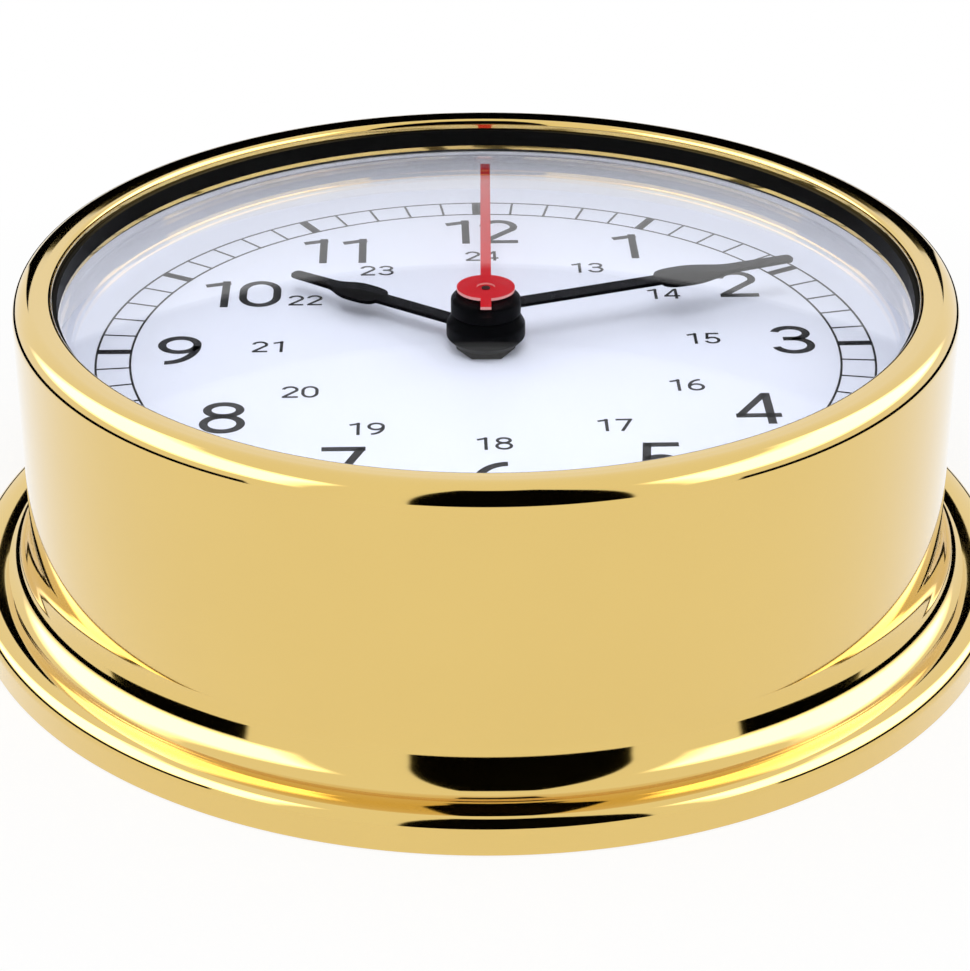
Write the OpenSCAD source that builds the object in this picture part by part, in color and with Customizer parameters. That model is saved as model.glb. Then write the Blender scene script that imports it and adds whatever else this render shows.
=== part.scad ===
// Marine clock lying on its back: spun brass case on a moulded base, domed glass,
// white dial, three hands and a battery movement with its full wheel train.
// Millimetres. The origin is the centre of the back plane, +Z runs out through the
// glass along the hand axis, and twelve o'clock is towards +Y.

/* [Case] */
// Diameter of the base flange
base_d = 150; // [146:1:190]
// Diameter of the barrel
barrel_d = 132.4; // [128:0.2:136]
// Diameter of the sight opening in the rim
opening_d = 120; // [96:1:122]
// Height from the back plane to the crest of the rim
case_h = 46.7; // [38:0.1:60]
// Wall of the barrel
wall = 1.6; // [1.2:0.02:2]
// Radius of the rim's outer edge
rim_round = 2.84; // [1.8:0.02:3.2]
// Radius of the crown across the rim's face
rim_crown = 22; // [14:1:40]
// Radius of the rim's inner edge
rim_inner_round = 0.45; // [0.2:0.05:0.8]
// Depth from the crest of the rim to the underside of its lip
lip_depth = 4.8; // [4.2:0.1:6]
// Radial thickness of the black band that lines the opening
band_t = 0.6; // [0.4:0.05:1]
// Height of the black band
band_h = 2.5; // [1.5:0.1:3]
// Brass left showing between the band and the glass
band_step = 0.6; // [0.3:0.05:1]

/* [Base moulding] */
// Height of the barrel's foot above the back plane
foot_z = 11.2; // [10.8:0.05:12.5]
// Radius of the flare that leaves the barrel
flare_r = 8; // [6:0.5:10]
// Height of the straight part below the flare
lean_h = 0.95; // [0.5:0.05:1.5]
// Lean of that part, in degrees
lean_angle = 22; // [18:0.5:26]
// Radius of the hollow below the straight part
cove_r = 4.2; // [3.8:0.1:4.6]
// Radius of the flange's crown
flange_crown = 5.4; // [4.8:0.1:7]
// Radius of the flange's outer edge
roll_r = 1.9; // [1.5:0.1:2.3]
// Height of that edge's centre
roll_z = 3.3; // [3:0.05:3.6]
// Radial thickness of the spigot that carries the barrel
spigot_t = 1.8; // [1.2:0.1:2.4]
// Length of the spigot inside the barrel
spigot_h = 6; // [3:0.5:10]

/* [Glass and dial] */
// Thickness of the domed glass
glass_t = 2; // [1.5:0.1:3]
// Room between the hands and the glass
glass_gap = 0.3; // [0.25:0.05:0.8]
// Thickness of the gasket above the glass
gasket_t = 0.6; // [0.4:0.05:1.2]
// Height of the white ring between the dial and the glass
spacer_h = 5.7; // [4:0.05:7.5]
// Distance that the white ring stands back from the sight opening
spacer_inset = 1.5; // [0.5:0.1:2.5]
// Thickness of the dial
dial_t = 1; // [0.6:0.1:1.6]
// Clearance of the glass, ring and dial in the barrel
seat_gap = 0.3; // [0.1:0.05:0.5]
// Thickness of the spring ring behind the dial
clip_t = 1.5; // [1:0.1:2.4]
// Depth of the spring ring's groove in the barrel
clip_groove = 0.8; // [0.4:0.05:0.9]
// Radial width of the spring ring
clip_w = 4; // [3:0.1:6]
// Opening of the spring ring, in degrees
clip_gap_angle = 14; // [6:1:30]

/* [Hands] */
// Hour shown
shown_hour = 10; // [0:1:11]
// Minute shown
shown_minute = 11.8; // [0:0.1:59.9]
// Second shown
shown_second = 0.25; // [0:0.05:59.95]
// Thickness of the hour and minute blades
blade_t = 0.5; // [0.3:0.05:0.8]
// Length of the hour hand from the axis
hour_len = 34.5; // [26:0.5:44]
// Greatest width of the hour hand's leaf
hour_leaf_w = 5.6; // [4:0.1:8]
// Distance from the axis to the start of the hour hand's leaf
hour_leaf_at = 18.4; // [12:0.1:22]
// Length of the minute hand from the axis
minute_len = 48; // [38:0.5:52]
// Greatest width of the minute hand's leaf
minute_leaf_w = 6.2; // [4:0.1:8]
// Distance from the axis to the start of the minute hand's leaf
minute_leaf_at = 26.6; // [18:0.1:32]
// Width of the hour and minute hands' stems
stem_w = 2.8; // [2:0.1:4]
// Width of the hour and minute hands' tips
tip_w = 2.1; // [1.2:0.1:3]
// Length of the seconds hand from the axis
seconds_len = 52.4; // [40:0.2:54]
// Drop of the seconds hand from its disc to its tip
seconds_drop = 2.35; // [0:0.05:2.4]
// Length of the seconds hand's tail from the axis
seconds_tail = 7; // [5:0.1:12]
// Width of the seconds hand's blade
seconds_w = 1.5; // [1:0.1:2.5]
// Thickness of the seconds hand
seconds_t = 0.4; // [0.3:0.05:0.8]
// Diameter of the seconds hand's disc
seconds_disc_d = 8.2; // [6:0.1:10]
// Diameter of the hour hand's boss
hour_boss_d = 11.2; // [9:0.1:14]
// Height of the hour hand's boss
hour_boss_h = 4.4; // [3.6:0.1:6]
// Chamfer round the foot of the hour hand's boss
hour_foot_chamfer = 1.15; // [0.4:0.05:1.6]
// Width of the bevel round the top of the hour hand's boss
hour_bevel_w = 0.85; // [0.3:0.05:1.2]
// Height of the bevel round the top of the hour hand's boss
hour_bevel_h = 1.4; // [0.3:0.05:1.8]
// Height of the hour hand's blade above the foot of its boss
hour_blade_up = 1.75; // [1.2:0.05:2.4]
// Depth of the hour pipe inside its hand
hour_pipe_in = 3.3; // [2:0.1:3.6]
// Height of the minute hand's blade above the foot of its boss
minute_blade_up = 0.35; // [0:0.05:0.4]
// Diameter of the minute hand's boss
minute_boss_d = 9.9; // [7:0.1:11]
// Height of the minute hand's boss
minute_boss_h = 2.9; // [2.2:0.1:4]
// Chamfer of the minute hand's boss
minute_boss_chamfer = 0.85; // [0.3:0.05:1.2]
// Gap between one hand and the next
hand_gap = 0.2; // [0.15:0.05:0.6]

/* [Movement] */
// Thickness of the movement
mov_t = 16; // [15.5:0.1:20]
// Wall of the movement's housing
mov_wall = 1.2; // [0.8:0.1:1.6]
// Depth of the housing's front half
front_half_h = 7.6; // [5:0.1:9]
// Room between the wheels and the housing
wheel_room = 2.1; // [0.8:0.1:5]
// Distance from the hand axis down to the battery bay
bay_drop = 20; // [17:0.5:26]
// Thickness of the rubber washer between movement and dial
washer_t = 1; // [0.5:0.1:2]
// Diameter of the rubber washer
washer_d = 22; // [14:1:40]
// Diameter of the threaded bushing
bushing_d = 6.8; // [6:0.1:8]
// Diameter of the bushing's flange inside the housing
bushing_flange_d = 12; // [9:0.5:16]
// Height of the thin nut on the dial
nut_h = 0.9; // [0.7:0.05:2]
// Width of the thin nut across its corners
nut_d = 8.4; // [7.8:0.1:10]
// Diameter of the seconds arbor
arbor_d = 1.2; // [0.8:0.05:1.4]
// Wall of the minute pipe
minute_pipe_t = 0.6; // [0.4:0.05:0.7]
// Wall of the hour pipe
hour_pipe_t = 0.8; // [0.4:0.05:1]
// Radial running clearance of arbors, pipes and posts
run_gap = 0.08; // [0.04:0.01:0.1]
// Battery diameter
battery_d = 14.2; // [13.5:0.1:14.5]
// Battery length with its nub
battery_l = 50.2; // [49.2:0.1:50.5]
// Setting knob diameter
knob_d = 14; // [9:0.5:18]
// Setting knob height
knob_h = 3.4; // [2:0.1:5]

/* [Wheel train] */
// Tooth module of the seconds pinion and third wheel
third_module = 0.45; // [0.36:0.01:0.5]
// Tooth module of the minute pinion, motion wheel and setting pinion
motion_module = 0.5; // [0.42:0.01:0.54]
// Tooth module of the intermediate pinion and seconds wheel
drive_module = 0.5; // [0.42:0.01:0.54]
// Tooth module of the rotor pinion and intermediate wheel
rotor_module = 0.4; // [0.34:0.01:0.44]
// Thickness of the wheels
wheel_t = 0.9; // [0.6:0.05:1.1]
// Height from one wheel to the next along the axis
layer_h = 1.75; // [1.6:0.01:2.1]
// Diameter of the wheel posts
post_d = 1.2; // [0.8:0.05:1.3]
// Diameter of the rotor magnet
magnet_d = 6.4; // [5:0.1:7]

/* [Bulkhead plate] */
// Thickness of the plate
plate_t = 2.5; // [1.6:0.1:3.2]
// Clearance of the plate in the base ring
plate_gap = 0.3; // [0.2:0.05:0.6]
// Diameter of the plate's window
window_d = 84; // [70:1:92]
// Diameter of the circle of bulkhead screws
screw_pcd = 98; // [94:1:106]
// Diameter of the bulkhead screw holes
screw_d = 4.4; // [3:0.1:5]
// Number of bulkhead screws, lugs and hooks
bayonets = 3; // [3:1:4]
// Arc of each bayonet lug, in degrees
lug_arc = 24; // [16:1:30]
// Arc of each bayonet hook, in degrees
hook_arc = 20; // [12:1:26]
// Radial reach of the lugs
lug_reach = 3.8; // [2.5:0.1:5]
// Thickness of the lugs and hooks
lug_t = 2; // [1.4:0.1:3]

/* [Hidden] */
$fn = 96;
// Overshoot of a cutting tool, and the radial clearance of a fixed fit
cut = 0.5;
fit_gap = 0.04;

// Colours
BRASS = [0.86, 0.71, 0.40];
BLACK = [0.06, 0.06, 0.07];
WHITE = [0.95, 0.95, 0.97];
STEEL = [0.66, 0.67, 0.69];

// Case
base_r = base_d / 2;
barrel_r = barrel_d / 2;
opening_r = opening_d / 2;
bore_r = barrel_r - wall;
rim_centre = [barrel_r - rim_round, case_h - rim_round];
lip_under = case_h - lip_depth;
band_r = opening_r + band_t;
band_z = lip_under + band_step;

// Face of the rim: its crown leaves the outer edge at a slight fall, in degrees, and runs
// into the inner edge
rim_fall = 2;
rim_tangent = rim_centre + rim_round * [-sin(rim_fall), cos(rim_fall)];
crown_centre = rim_tangent - rim_crown * [-sin(rim_fall), cos(rim_fall)];
inner_r = band_r + rim_inner_round;
inner_reach = rim_crown - rim_inner_round;
inner_fall = asin((crown_centre[0] - inner_r) / inner_reach);
inner_centre = [inner_r, crown_centre[1] + inner_reach * cos(inner_fall)];

// Base moulding
flare_centre = [barrel_r + flare_r, foot_z];
lean_way = [cos(lean_angle), sin(lean_angle)];
lean_top = flare_centre - flare_r * lean_way;
lean_end = lean_top + lean_h * [tan(lean_angle), -1];
cove_centre = lean_end + cove_r * lean_way;
// Turn of the flange's outer edge at which its crown begins, in degrees
flange_turn = 73;
flange_way = [cos(flange_turn), sin(flange_turn)];
roll_centre = [base_r - roll_r, roll_z];
flange_tangent = roll_centre + roll_r * flange_way;
flange_centre = flange_tangent - flange_crown * flange_way;
ring_bore_r = bore_r - spigot_t;

// Glass, ring and dial, from the lip down
seat_r = bore_r - seat_gap;
glass_top = lip_under - gasket_t;
dial_top = glass_top - glass_t - spacer_h;
dial_back = dial_top - dial_t;
clip_r = bore_r + clip_groove;
clip_dir = 90;

// Hands, from the dial up
nut_gap = 0.15;
hour_z = dial_top + nut_h + nut_gap;
minute_z = hour_z + hour_boss_h + hand_gap;
seconds_z = minute_z + minute_boss_h + 2 * hand_gap;
stack_top = seconds_z + seconds_t;
hour_top = hour_z + hour_boss_h;
minute_top = minute_z + minute_boss_h;
minute_angle = shown_minute * 6;
hour_angle = (shown_hour + shown_minute / 60) * 30;
second_angle = shown_second * 6;
recess_r = 1.3;
recess_h = 0.25;
arbor_top = stack_top - recess_h / 2;

// Leaf outline: its widest place, its shoulder and its taper in leaf widths, its waist
// as a share of the way from the widest place to the tip, and its corners in tip widths
leaf_peak = 0.72;
leaf_shoulder = 0.3;
leaf_taper = 0.45;
leaf_waist = 0.42;
waist_w = 1.2 * tip_w;
tip_corner = 0.35;

// Glass dome that clears the hand stack at the axis and the tip of the seconds hand
tip_share = 1 - pow(seconds_len / opening_r, 2);
rise_for_stack = stack_top + glass_gap - (glass_top - glass_t);
rise_for_tip = (stack_top - seconds_drop + glass_gap - (glass_top - glass_t)) / tip_share;
glass_rise = max(rise_for_stack, rise_for_tip);
dome_r = (opening_r * opening_r + glass_rise * glass_rise) / (2 * glass_rise);
dome_z = glass_top + glass_rise - dome_r;

// Movement housing
mov_front = dial_back - washer_t;
mov_back = mov_front - mov_t;
mov_split = mov_front - front_half_h;
mov_floor = mov_back + mov_wall;
mov_ceiling = mov_front - mov_wall;

// Wheel train: tooth counts, modules, places on the back plane
SECONDS_PINION = 8;
THIRD_WHEEL = 60;
THIRD_PINION = 10;
CENTRE_WHEEL = 80;
MINUTE_PINION = 12;
MOTION_WHEEL = 36;
MOTION_PINION = 10;
HOUR_WHEEL = 40;
SETTING_PINION = 12;
ROTOR_PINION = 8;
INTERMEDIATE_WHEEL = 48;
INTERMEDIATE_PINION = 8;
SECONDS_WHEEL = 40;
tooth_add = 0.75;
tooth_ded = 1.15;
tooth_root_share = 0.44;
tooth_tip_share = 0.16;
third_dist = third_module * (SECONDS_PINION + THIRD_WHEEL) / 2;
centre_module = 2 * third_dist / (THIRD_PINION + CENTRE_WHEEL);
motion_dist = motion_module * (MINUTE_PINION + MOTION_WHEEL) / 2;
hour_module = 2 * motion_dist / (MOTION_PINION + HOUR_WHEEL);
intermediate_dist = drive_module * (INTERMEDIATE_PINION + SECONDS_WHEEL) / 2;
rotor_dist = rotor_module * (ROTOR_PINION + INTERMEDIATE_WHEEL) / 2;
setting_dist = motion_module * (MOTION_WHEEL + SETTING_PINION) / 2;
third_dir = 45;
motion_dir = -30;
intermediate_dir = 200;
rotor_dir = 150;
setting_dir = -20;
function polar(r, a) = [r * cos(a), r * sin(a)];
third_at = polar(third_dist, third_dir);
motion_at = polar(motion_dist, motion_dir);
intermediate_at = polar(intermediate_dist, intermediate_dir);
rotor_at = intermediate_at + polar(rotor_dist, rotor_dir);
setting_at = motion_at + polar(setting_dist, setting_dir);

// Phase that puts a gap of the second wheel on a tooth of the first, seen along direction a
function mesh_phase(a, n1, phase1, n2) = a + 180 + 180 / n2 - (phase1 - a) * n1 / n2;
motion_phase = mesh_phase(motion_dir, MINUTE_PINION, motion_dir, MOTION_WHEEL);
setting_phase = mesh_phase(setting_dir, MOTION_WHEEL, motion_phase, SETTING_PINION);

// Wheel layers, from the housing's floor up
layer_start = 0.6;
pinion_over = 0.2;
function layer(k) = mov_floor + layer_start + k * layer_h;
post_r = post_d / 2;
post_bore = post_r + run_gap;
hub_wall = 0.6;
hub_r = post_bore + hub_wall;
arbor_r = arbor_d / 2;
minute_bore = arbor_r + run_gap;
minute_r = minute_bore + minute_pipe_t;
hour_bore = minute_r + run_gap;
hour_r = hour_bore + hour_pipe_t;
bushing_bore = hour_r + run_gap;
bushing_r = bushing_d / 2;
foot_gap = 0.2;
pipe_flange_w = 1.3;
pipe_flange_r = minute_r + pipe_flange_w;
pipe_flange_t = 0.4;
flange_under = 0.06;
post_seat = 0.6;

// Housing outline that takes the train and the battery bay
third_tip = third_module * (THIRD_WHEEL / 2 + tooth_add);
wheel_half = third_at[0] + third_tip + wheel_room + mov_wall;
strip_room = 1.6;
battery_half = battery_l / 2 + strip_room + mov_wall;
mov_half = max(wheel_half, battery_half);
bay_room = 0.5;
bay_top = -bay_drop - mov_wall;
bay_w = battery_d + 2 * bay_room;
bay_y = bay_top - bay_w / 2;
mov_low = bay_top - bay_w - mov_wall;
battery_z = mov_ceiling - battery_d / 2;
strip_t = 0.4;
strip_w = 6;
strip_h = 8;

// Motor
stator_t = wheel_t;
stator_z = layer(2);
magnet_r = magnet_d / 2;
magnet_gap = 0.6;
magnet_over = 0.15;
magnet_z = layer(1) + wheel_t + pinion_over + magnet_over;
magnet_h = 1.9;
stator_half = 5.5;
core_w = 3;
core_from_rotor = 6.5;
core_l = 17.5;
core_y = rotor_at[1] + core_from_rotor;
core_end = core_y + core_l;
arm_w = 2;
arm_from_rotor = 7.2;
arm_x = rotor_at[0] + arm_from_rotor;
stator_pegs = [rotor_at - [4, 4.5], [arm_x, core_end - 3]];
stator_peg_r = 0.9;
coil_r = 4.2;
coil_l = 13.4;
coil_from_core = 0.8;
coil_y = core_y + coil_from_core;

// Circuit board
board_t = 0.8;
board_drop = 3;
board_z = mov_ceiling - board_drop;
board_low = [rotor_at[0] - 4.6, rotor_at[1] + 5];
board_size = [17, 18];
board_posts = [[2, 2], [2, 16], [15, 16]];
board_post_r = 1.3;
crystal_r = 1;
crystal_l = 6;
crystal_at = board_low + [8.5, 4];

// Setting knob
knob_gap = 0.6;
knob_top = mov_back - knob_gap;
shaft_r = 1.6;
knob_flutes = 24;
flute_r = 0.5;

// Bulkhead plate and bayonets
plate_r = ring_bore_r - plate_gap;
lug_r = ring_bore_r - lug_reach;
lug_gap = 0.4;
lug_z = plate_t + lug_gap;
hook_z = lug_z + lug_t + lug_gap;
hook_r = plate_r - plate_gap;
hook_post_r = lug_r - lug_gap;
hook_post_w = 3.2;
screw_head_d = 2 * screw_d;
screw_head_t = (screw_head_d - screw_d) / 2;
bayonet_dir = 90;
screw_dir = bayonet_dir + 180 / bayonets;

// Round ring between two radii and two heights
module ring(r_in, r_out, z0, z1) {
    translate([0, 0, z0])
        difference() {
            cylinder(r = r_out, h = z1 - z0);
            translate([0, 0, -cut]) cylinder(r = r_in, h = z1 - z0 + 2 * cut);
        }
}

// Piece of a ring, centred on a direction
module sector(r_in, r_out, z0, z1, arc, dir) {
    rotate([0, 0, dir - arc / 2])
        rotate_extrude(angle = arc)
            translate([r_in, z0]) square([r_out - r_in, z1 - z0]);
}

// Copies around the hand axis, the first towards dir
module around(n, dir) {
    for (k = [0 : n - 1]) rotate([0, 0, dir + k * 360 / n]) children();
}

// Straight-flanked clock tooth, repeated around the wheel
module toothed(teeth, m, phase, z0, z1) {
    pitch_r = teeth * m / 2;
    root_r = pitch_r - tooth_ded * m;
    tip_r = pitch_r + tooth_add * m;
    root_a = tooth_root_share * 90 * m / root_r;
    tip_a = tooth_tip_share * 90 * m / tip_r;
    tooth = [[root_r, -root_a], [tip_r, -tip_a], [tip_r, tip_a], [root_r, root_a]];
    translate([0, 0, z0])
        linear_extrude(z1 - z0)
            polygon([for (k = [0 : teeth - 1], p = tooth) polar(p[0], phase + k * 360 / teeth + p[1])]);
}

module wheel_at(k, teeth, m, phase) {
    toothed(teeth, m, phase, layer(k), layer(k) + wheel_t);
}

module pinion_at(k, teeth, m, phase) {
    toothed(teeth, m, phase, layer(k) - pinion_over, layer(k) + wheel_t + pinion_over);
}

module at(place) {
    translate([place[0], place[1], 0]) children();
}

// Case

// What the rounding of the rim's inner edge takes away
module rim_inner_edge() {
    away = rim_inner_round + cut;
    difference() {
        polygon([inner_centre, inner_centre - [away, 0], inner_centre + away * [-1, 1],
                 inner_centre + away * [-sin(inner_fall), cos(inner_fall)]]);
        translate(inner_centre) circle(r = rim_inner_round);
    }
}

module case_shell() {
    color(BRASS)
        rotate_extrude()
            difference() {
                union() {
                    translate([bore_r, foot_z]) square([wall, rim_centre[1] - foot_z]);
                    translate(rim_centre) circle(r = rim_round);
                    translate([opening_r, lip_under])
                        square([barrel_r - opening_r, rim_centre[1] - lip_under]);
                    intersection() {
                        translate(crown_centre) circle(r = rim_crown);
                        translate([opening_r, lip_under])
                            square([rim_tangent[0] - opening_r, lip_depth]);
                    }
                }
                rim_inner_edge();
                translate([opening_r - cut, 0]) square([bore_r - opening_r + cut, lip_under]);
                translate([opening_r - cut, band_z]) square([band_t + cut, case_h]);
                translate([bore_r - cut, dial_back - clip_t])
                    square([clip_groove + cut, clip_t]);
            }
}

module base_ring() {
    color(BRASS) {
        rotate_extrude() {
            translate([ring_bore_r, 0]) square([base_r - ring_bore_r, roll_z]);
            translate(roll_centre) circle(r = roll_r);
            intersection() {
                translate(flange_centre) circle(r = flange_crown);
                translate([ring_bore_r, 0])
                    square([flange_tangent[0] - ring_bore_r, 2 * flange_crown]);
            }
            difference() {
                polygon([[ring_bore_r, 0], [cove_centre[0], 0], cove_centre, lean_end, lean_top,
                         [ring_bore_r, lean_top[1]]]);
                translate(cove_centre) circle(r = cove_r);
            }
            difference() {
                polygon([[ring_bore_r, lean_end[1]], [barrel_r, lean_end[1]], lean_top, flare_centre,
                         [ring_bore_r, foot_z]]);
                translate(flare_centre) circle(r = flare_r);
            }
            translate([ring_bore_r, foot_z - cut]) square([spigot_t - fit_gap, spigot_h + cut]);
        }
        around(bayonets, bayonet_dir)
            sector(lug_r, ring_bore_r + spigot_t, lug_z, lug_z + lug_t, lug_arc, 0);
    }
}

module bezel_band() {
    color(BLACK) ring(opening_r, band_r - fit_gap, band_z, band_z + band_h);
}

module glass_gasket() {
    color(BLACK) ring(opening_r + band_step, seat_r, glass_top, lip_under);
}

module glass() {
    color([0.85, 0.92, 0.95, 0.3])
        rotate_extrude() {
            intersection() {
                translate([0, dome_z])
                    difference() {
                        circle(r = dome_r);
                        circle(r = dome_r - glass_t);
                    }
                translate([0, glass_top - glass_t - cut])
                    square([opening_r, glass_rise + glass_t + 2 * cut]);
            }
            translate([opening_r - cut, glass_top - glass_t])
                square([seat_r - opening_r + cut, glass_t]);
        }
}

module spacer_ring() {
    color(WHITE) ring(opening_r + spacer_inset, seat_r, dial_top, dial_top + spacer_h);
}

module dial() {
    color(WHITE) ring(bushing_r + run_gap, seat_r, dial_back, dial_top);
}

module spring_ring() {
    color(STEEL)
        sector(clip_r - clip_w, clip_r - fit_gap, dial_back - clip_t + fit_gap, dial_back,
               360 - clip_gap_angle, clip_dir);
}

// Movement

module housing_block(z0, z1, inset) {
    translate([-mov_half + inset, mov_low + inset, z0])
        cube([2 * (mov_half - inset), mov_half - mov_low - 2 * inset, z1 - z0]);
}

module bay_space(z0, z1) {
    translate([-mov_half + mov_wall, bay_top - bay_w, z0])
        cube([2 * (mov_half - mov_wall), bay_w, z1 - z0]);
}

module bay_wall(z0, z1) {
    translate([-mov_half + mov_wall, bay_top, z0])
        cube([2 * (mov_half - mov_wall), mov_wall, z1 - z0]);
}

module movement_front() {
    color(BLACK)
        difference() {
            union() {
                difference() {
                    housing_block(mov_split, mov_front, 0);
                    housing_block(mov_split - cut, mov_ceiling, mov_wall);
                }
                bay_wall(mov_split, mov_ceiling);
                for (p = board_posts)
                    at(board_low + p)
                        translate([0, 0, board_z + board_t])
                            cylinder(r = board_post_r, h = mov_ceiling - board_z - board_t);
            }
            translate([0, 0, mov_ceiling - cut])
                cylinder(r = bushing_r + fit_gap, h = mov_wall + 2 * cut);
            at(motion_at)
                translate([0, 0, mov_ceiling - cut]) cylinder(r = post_r + fit_gap, h = cut + post_seat);
        }
}

module movement_rear() {
    color(BLACK)
        difference() {
            union() {
                difference() {
                    housing_block(mov_back, mov_split, 0);
                    housing_block(mov_floor, mov_split + cut, mov_wall);
                }
                bay_wall(mov_floor, mov_split);
                for (p = stator_pegs)
                    at(p)
                        translate([0, 0, mov_floor - cut])
                            cylinder(r = stator_peg_r, h = stator_z - mov_floor + cut);
            }
            bay_space(mov_back - cut, mov_floor + cut);
            for (p = [third_at, intermediate_at, rotor_at])
                at(p)
                    translate([0, 0, mov_floor - post_seat])
                        cylinder(r = post_r + fit_gap, h = post_seat + cut);
            translate([0, 0, mov_floor - post_seat])
                cylinder(r = minute_bore, h = post_seat + cut);
            at(setting_at)
                translate([0, 0, mov_back - cut])
                    cylinder(r = shaft_r + run_gap, h = mov_wall + 2 * cut);
        }
}

module bushing() {
    color(BRASS) {
        ring(bushing_bore, bushing_r, mov_ceiling - wheel_t, hour_z - nut_gap + fit_gap);
        ring(bushing_bore, bushing_flange_d / 2, mov_ceiling - wheel_t, mov_ceiling);
    }
}

module thin_nut() {
    color(BRASS)
        difference() {
            translate([0, 0, dial_top]) cylinder(d = nut_d, h = nut_h, $fn = 6);
            translate([0, 0, dial_top - cut]) cylinder(r = bushing_r + fit_gap, h = nut_h + 2 * cut);
        }
}

module dial_washer() {
    color(BLACK) ring(bushing_r + fit_gap, washer_d / 2, mov_front, dial_back);
}

module post(place, z0, z1) {
    at(place) translate([0, 0, z0]) cylinder(r = post_r, h = z1 - z0);
}

module wheel_posts() {
    color(STEEL) {
        post(third_at, mov_floor - post_seat, layer(3) + wheel_t + 2 * pinion_over);
        post(intermediate_at, mov_floor - post_seat, layer(1) + wheel_t + pinion_over);
        post(rotor_at, mov_floor - post_seat, magnet_z + magnet_h + pinion_over);
        post(motion_at, layer(4) - pinion_over, mov_ceiling + post_seat);
    }
}

module stator() {
    color(STEEL)
        difference() {
            translate([0, 0, stator_z])
                linear_extrude(stator_t)
                    union() {
                        translate([rotor_at[0] - stator_half + 0.5, rotor_at[1] - stator_half])
                            square([arm_x + arm_w / 2 - rotor_at[0] + stator_half - 0.5,
                                    core_y - rotor_at[1] + stator_half]);
                        translate([rotor_at[0] - core_w / 2, core_y - cut])
                            square([core_w, core_end - core_y + cut]);
                        translate([arm_x - arm_w / 2, core_y - cut])
                            square([arm_w, core_end - core_y + cut]);
                        translate([rotor_at[0] - core_w / 2, core_end - arm_w])
                            square([arm_x - rotor_at[0] + core_w / 2, arm_w]);
                    }
            at(rotor_at)
                translate([0, 0, stator_z - cut])
                    cylinder(r = magnet_r + magnet_gap, h = stator_t + 2 * cut);
        }
}

module coil() {
    color([0.72, 0.38, 0.18])
        difference() {
            translate([rotor_at[0], coil_y, stator_z + stator_t / 2])
                rotate([-90, 0, 0]) cylinder(r = coil_r, h = coil_l);
            translate([rotor_at[0] - core_w / 2 - fit_gap, coil_y - cut, stator_z - fit_gap])
                cube([core_w + 2 * fit_gap, coil_l + 2 * cut, stator_t + 2 * fit_gap]);
        }
}

module circuit_board() {
    color([0.1, 0.35, 0.2])
        translate([board_low[0], board_low[1], board_z])
            cube([board_size[0], board_size[1], board_t]);
}

module quartz_crystal() {
    color(STEEL)
        at(crystal_at)
            translate([0, 0, board_z + board_t + crystal_r])
                rotate([-90, 0, 0]) cylinder(r = crystal_r, h = crystal_l);
}

module battery() {
    nub_l = 1.3;
    nub_r = 2.7;
    color([0.12, 0.13, 0.16])
        translate([-battery_l / 2, bay_y, battery_z])
            rotate([0, 90, 0]) {
                cylinder(d = battery_d, h = battery_l - nub_l);
                cylinder(r = nub_r, h = battery_l);
            }
}

// Folded strip that touches one end of the battery and the end of the bay
module contact_strip() {
    reach = mov_half - mov_wall - battery_l / 2;
    translate([battery_l / 2, bay_y - strip_w / 2, battery_z - strip_h / 2])
        difference() {
            cube([reach, strip_w, strip_h]);
            translate([strip_t, -cut, strip_t])
                cube([reach - 2 * strip_t, strip_w + 2 * cut, strip_h]);
        }
}

module contact_plus() {
    color(STEEL) contact_strip();
}

module contact_minus() {
    color(STEEL) mirror([1, 0, 0]) contact_strip();
}

// Wheel train

module rotor() {
    color(WHITE)
        at(rotor_at)
            difference() {
                union() {
                    pinion_at(1, ROTOR_PINION, rotor_module,
                              mesh_phase(rotor_dir, INTERMEDIATE_WHEEL, rotor_dir, ROTOR_PINION));
                    translate([0, 0, mov_floor + foot_gap])
                        cylinder(r = hub_r, h = magnet_z + magnet_h - mov_floor - foot_gap);
                }
                translate([0, 0, mov_floor]) cylinder(r = post_bore, h = mov_t);
            }
}

module rotor_magnet() {
    color(STEEL) at(rotor_at) ring(hub_r + fit_gap, magnet_r, magnet_z, magnet_z + magnet_h);
}

module intermediate_wheel() {
    color(WHITE)
        at(intermediate_at)
            difference() {
                union() {
                    wheel_at(1, INTERMEDIATE_WHEEL, rotor_module, rotor_dir);
                    pinion_at(0, INTERMEDIATE_PINION, drive_module,
                              intermediate_dir + 180);
                    translate([0, 0, mov_floor + foot_gap])
                        cylinder(r = hub_r, h = layer(1) - mov_floor - foot_gap + cut);
                }
                translate([0, 0, mov_floor]) cylinder(r = post_bore, h = mov_t);
            }
}

module seconds_wheel() {
    color(WHITE) {
        wheel_at(0, SECONDS_WHEEL, drive_module,
                 mesh_phase(intermediate_dir + 180, INTERMEDIATE_PINION,
                            intermediate_dir + 180, SECONDS_WHEEL));
        pinion_at(2, SECONDS_PINION, third_module, third_dir);
        translate([0, 0, mov_floor - post_seat + foot_gap])
            cylinder(r = arbor_r, h = arbor_top - mov_floor + post_seat - foot_gap);
    }
}

module third_wheel() {
    color(WHITE)
        at(third_at)
            difference() {
                union() {
                    wheel_at(2, THIRD_WHEEL, third_module,
                             mesh_phase(third_dir, SECONDS_PINION, third_dir, THIRD_WHEEL));
                    pinion_at(3, THIRD_PINION, centre_module, third_dir + 180);
                    translate([0, 0, mov_floor + foot_gap])
                        cylinder(r = hub_r, h = layer(3) - mov_floor - foot_gap);
                }
                translate([0, 0, mov_floor]) cylinder(r = post_bore, h = mov_t);
            }
}

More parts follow.
